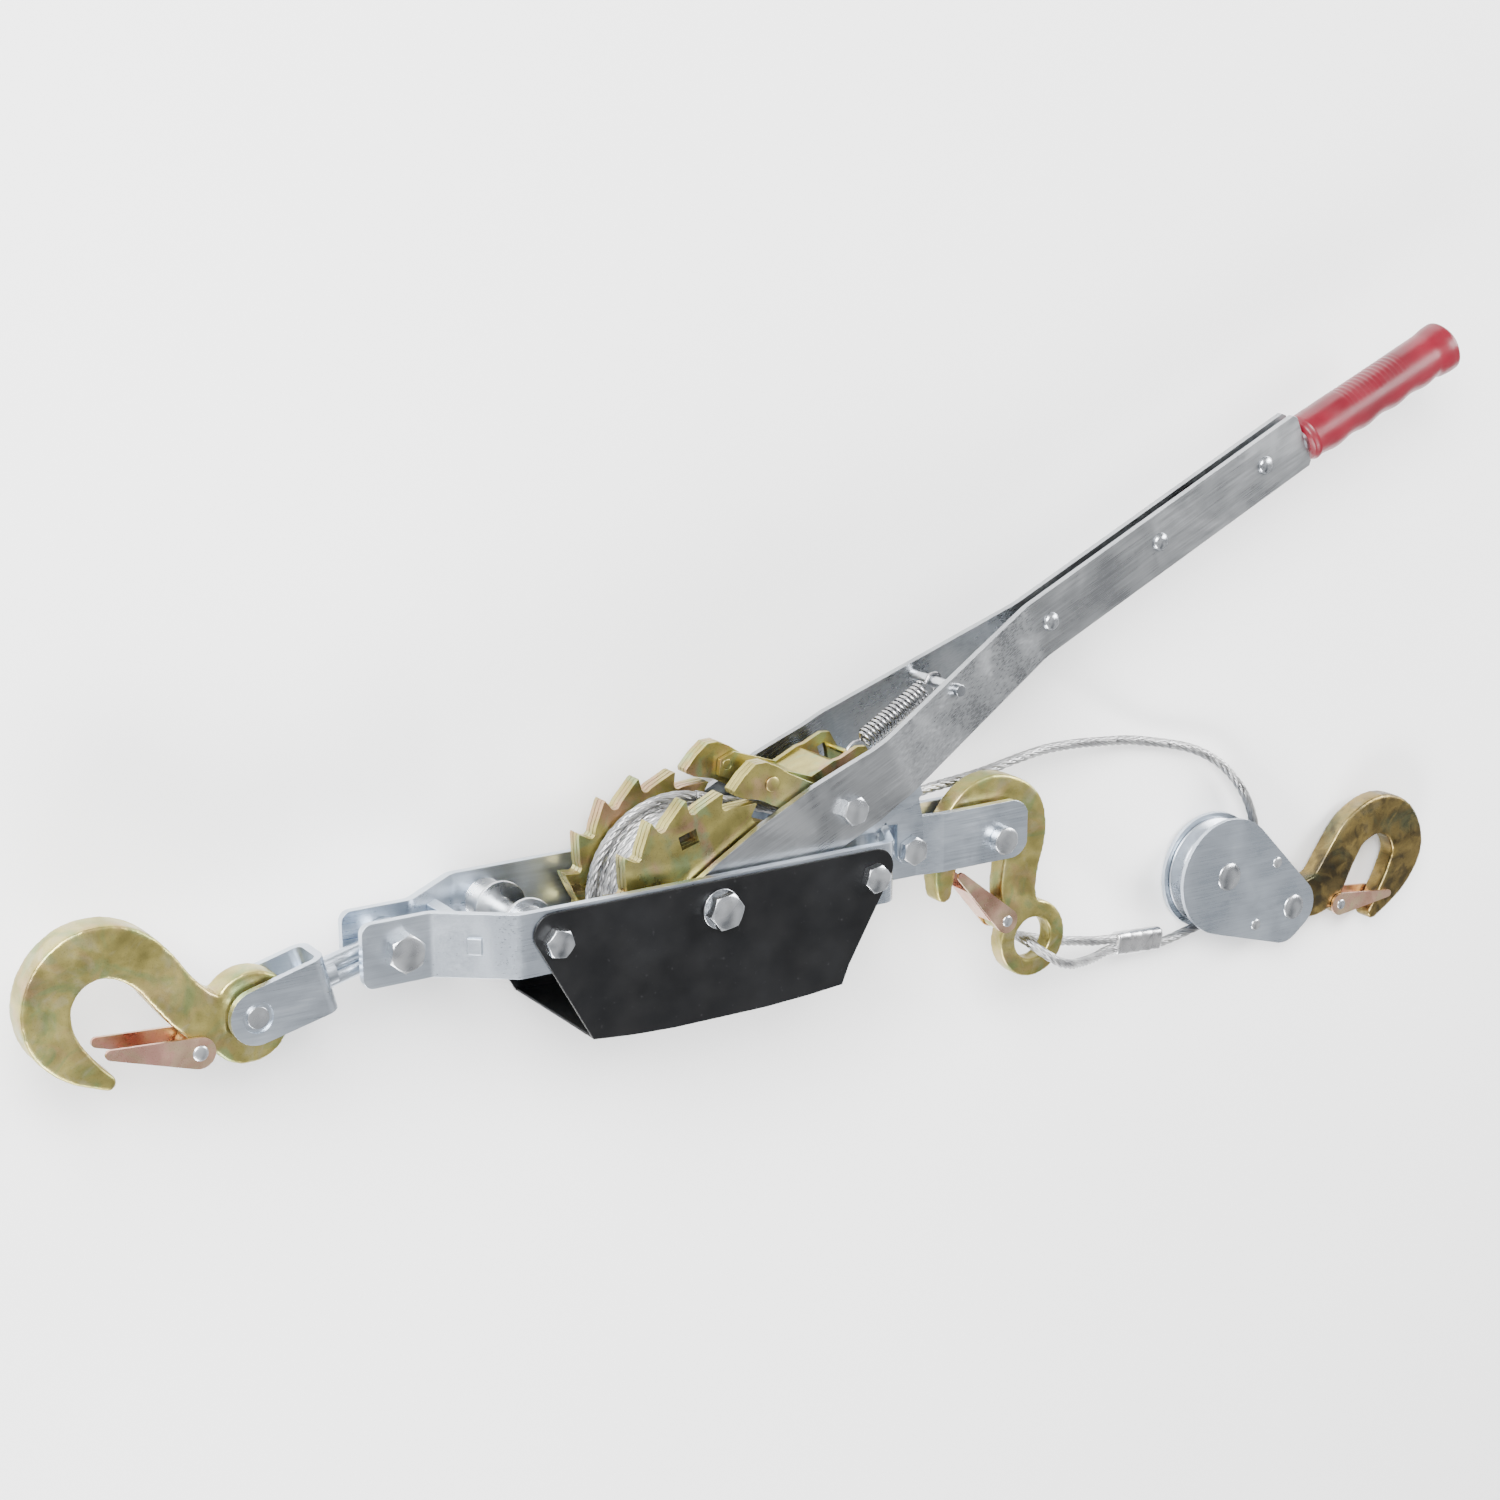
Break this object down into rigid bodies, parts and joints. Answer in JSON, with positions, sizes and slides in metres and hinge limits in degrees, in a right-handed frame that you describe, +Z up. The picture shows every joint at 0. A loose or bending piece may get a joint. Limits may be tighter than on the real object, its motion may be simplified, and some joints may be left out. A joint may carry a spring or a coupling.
{
  "type": "come along winch",
  "caption": "Hand ratchet puller lying on its side: lever handle, twin-wheel drum in a bent flat-bar frame, wire rope through a pulley block, and latched hooks at both ends.",
  "frame": {"origin": "centre of the footprint, at the height of the surface the winch lies on, measured without the wire rope and its ferrule", "axes": "+X along the frame from the anchor hook to the pulley block's hook, +Y towards the handle, +Z up and parallel to the main axle"},
  "size_m": [0.8657, 0.358, 0.0977],
  "materials": {
    "zinc_plate": "bright bluish-white zinc plating on rolled flat bar",
    "zinc_bolt": "bright zinc plating on turned and forged fasteners",
    "handle_steel": "darker brushed zinc plating",
    "yellow_chromate": "iridescent yellow chromate over zinc, olive to gold with pink and green",
    "dark_chromate": "browner iridescent yellow chromate over zinc",
    "latch_sheet": "pressed sheet steel with a pinkish yellow chromate",
    "black_paint": "satin black paint",
    "red_vinyl": "glossy crimson dipped vinyl",
    "rope_wire": "galvanised stranded wire",
    "spring_wire": "bright spring wire",
    "ferrule_aluminium": "bright pressed aluminium"
  },
  "bodies": {
    "frame": {"near_side_plate": "zinc_plate", "far_side_plate": "zinc_plate", "near_guard_panel": "black_paint", "far_guard_panel": "black_paint", "guard_floor": "black_paint", "guard_bolts": "zinc_bolt", "guard_nuts": "zinc_bolt", "main_bolt": "zinc_bolt", "main_washers": "zinc_bolt", "main_nut": "zinc_bolt", "spacer_spools": "zinc_bolt", "cross_member": "zinc_plate", "hook_pin": "zinc_bolt", "swivel_bolt": "zinc_bolt", "swivel_nut": "zinc_bolt", "stop_bolt": "zinc_bolt", "stop_spacers": "zinc_bolt", "stop_nut": "zinc_bolt", "wire_rope": "rope_wire", "ferrule": "ferrule_aluminium"},
    "drum": {"near_wheel": "yellow_chromate", "far_wheel": "yellow_chromate", "drum_core": "yellow_chromate", "rope_winding": "rope_wire"},
    "handle": {"near_handle_plate": "handle_steel", "far_handle_plate": "handle_steel", "handle_rivets": "zinc_bolt", "handle_core": "handle_steel", "grip": "red_vinyl", "pawl_bolt": "zinc_bolt", "pawl_nut": "zinc_bolt", "spring_stud": "zinc_bolt", "pawl_spring": "spring_wire"},
    "drive_pawl": {"pawl_carrier": "yellow_chromate", "pawl_arms": "yellow_chromate", "pawl_rivets": "yellow_chromate"},
    "stop_pawl_arm": {"stop_pawl": "zinc_plate"},
    "swivel": {"swivel_eye": "zinc_plate"},
    "clevis_body": {"clevis": "zinc_plate", "clevis_pin": "zinc_bolt"},
    "anchor": {"anchor_hook": "yellow_chromate", "anchor_latch_pin": "zinc_bolt"},
    "anchor_gate": {"anchor_latch": "latch_sheet"},
    "cable_end": {"cable_hook": "yellow_chromate", "cable_latch_pin": "zinc_bolt"},
    "cable_gate": {"cable_latch": "latch_sheet"},
    "block": {"near_cheek": "zinc_plate", "far_cheek": "zinc_plate", "block_spacers": "zinc_bolt", "sheave_axle": "zinc_bolt", "hook_rivet": "zinc_bolt"},
    "sheave_wheel": {"sheave": "zinc_bolt"},
    "load": {"block_hook": "dark_chromate", "block_latch_pin": "zinc_bolt"},
    "load_gate": {"block_latch": "latch_sheet"}
  },
  "joints": [
    {"name": "handle_swing", "type": "hinge", "parent": "frame", "child": "handle", "pos_m": [-0.1046, -0.0636, 0.05], "axis": [0, 0, 1], "range_deg": [0, 112.5]},
    {"name": "drum_turn", "type": "hinge", "parent": "frame", "child": "drum", "pos_m": [-0.1046, -0.0636, 0.05], "axis": [0, 0, 1], "range_deg": [0, 112.5]},
    {"name": "drive_pawl_tilt", "type": "hinge", "parent": "handle", "child": "drive_pawl", "pos_m": [-0.0246, -0.0296, 0.05], "axis": [0, 0, 1], "range_deg": [-12, 1], "stiffness_Nm_per_rad": 0.5},
    {"name": "stop_pawl_tilt", "type": "hinge", "parent": "frame", "child": "stop_pawl_arm", "pos_m": [0.0206, -0.0614, 0.05], "axis": [0, 0, 1], "range_deg": [-2, 0.8], "stiffness_Nm_per_rad": 0.5},
    {"name": "swivel_swing", "type": "hinge", "parent": "frame", "child": "swivel", "pos_m": [-0.2576, -0.0636, 0.05], "axis": [0, 0, 1], "range_deg": [-40, 40]},
    {"name": "clevis_turn", "type": "hinge", "parent": "swivel", "child": "clevis_body", "pos_m": [-0.2576, -0.0636, 0.05], "axis": [-0.9703, -0.2419, 0], "continuous": true},
    {"name": "anchor_hook_swing", "type": "hinge", "parent": "clevis_body", "child": "anchor", "pos_m": [-0.32892, -0.08138, 0.05], "axis": [0, 0, 1], "range_deg": [-60, 60]},
    {"name": "anchor_latch_open", "type": "hinge", "parent": "anchor", "child": "anchor_gate", "pos_m": [-0.3556, -0.0936, 0.05], "axis": [0, 0, 1], "range_deg": [-30, 0], "stiffness_Nm_per_rad": 0.05},
    {"name": "cable_hook_swing", "type": "hinge", "parent": "frame", "child": "cable_end", "pos_m": [0.0814, -0.0676, 0.05], "axis": [0, 0, 1], "range_deg": [-3, 3]},
    {"name": "cable_latch_open", "type": "hinge", "parent": "cable_end", "child": "cable_gate", "pos_m": [0.0904, -0.1156, 0.05], "axis": [0, 0, 1], "range_deg": [-15, 0], "stiffness_Nm_per_rad": 0.05},
    {"name": "block_swing", "type": "hinge", "parent": "frame", "child": "block", "pos_m": [0.2764, -0.1346, 0.011], "axis": [0, 0, 1], "range_deg": [-8, 8]},
    {"name": "sheave_turn", "type": "hinge", "parent": "block", "child": "sheave_wheel", "pos_m": [0.2764, -0.1346, 0.011], "axis": [0, 0, 1], "continuous": true},
    {"name": "load_hook_swing", "type": "hinge", "parent": "block", "child": "load", "pos_m": [0.3264, -0.1616, 0.011], "axis": [0, 0, 1], "range_deg": [-40, 40]},
    {"name": "load_latch_open", "type": "hinge", "parent": "load", "child": "load_gate", "pos_m": [0.3654, -0.1676, 0.011], "axis": [0, 0, 1], "range_deg": [0, 30], "stiffness_Nm_per_rad": 0.05}
  ],
  "couplings": [
    {"joint": "drum_turn", "follows": "handle_swing", "ratio": 1}
  ]
}
